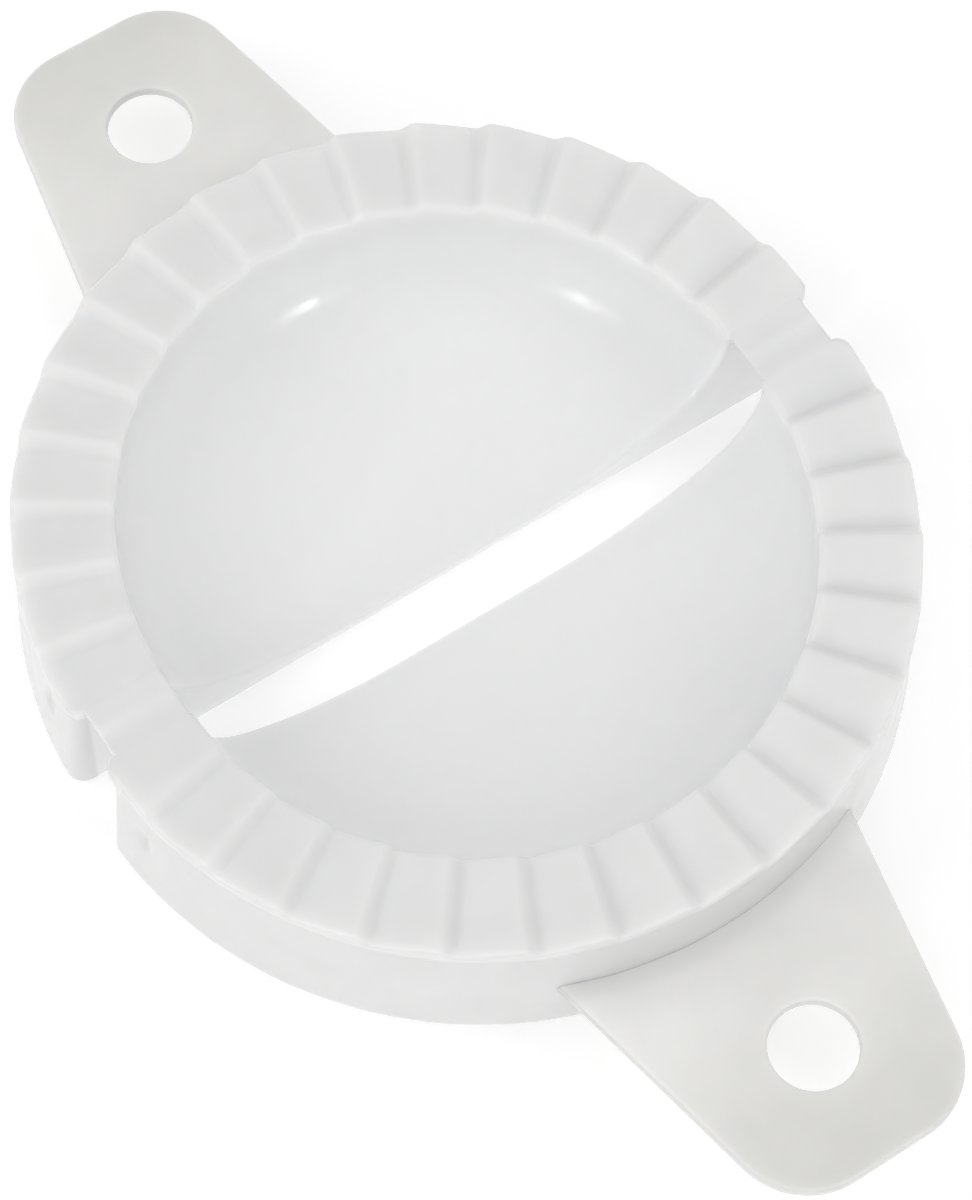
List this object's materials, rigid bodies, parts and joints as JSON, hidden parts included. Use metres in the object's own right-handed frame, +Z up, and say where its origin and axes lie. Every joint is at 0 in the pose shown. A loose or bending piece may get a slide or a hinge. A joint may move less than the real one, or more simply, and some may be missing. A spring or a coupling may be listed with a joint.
{
  "type": "empanada press",
  "caption": "Fold-over press for filled dough pockets: half-round dishes with stepped crimping rims, joined by film hinges, each with a tab handle and hanging hole.",
  "frame": {"origin": "on the table under the middle of the fold line, at the centre of the open press's footprint", "axes": "+X along the fold line, +Y towards the end of the rear half's handle, +Z up from the table"},
  "size_m": [0.1266, 0.2118, 0.026],
  "materials": {
    "polypropylene": "natural white translucent polypropylene, satin, with a soft gloss on rounded edges",
    "hinge_film": "the same polypropylene moulded thin, more translucent, satin"
  },
  "bodies": {
    "rear_half": {"rear_crimped_rim": "polypropylene", "rear_dish": "polypropylene", "rear_skirt": "polypropylene", "rear_back_wall": "polypropylene", "rear_handle": "polypropylene", "left_film_hinge": "hinge_film", "right_film_hinge": "hinge_film"},
    "front_half": {"front_crimped_rim": "polypropylene", "front_dish": "polypropylene", "front_skirt": "polypropylene", "front_back_wall": "polypropylene", "front_handle": "polypropylene"}
  },
  "joints": [
    {"name": "fold", "type": "hinge", "parent": "rear_half", "child": "front_half", "pos_m": [0, 0, 0.0254], "axis": [-1, 0, 0], "range_deg": [-18, 180], "deforming": ["left_film_hinge", "right_film_hinge"]}
  ]
}
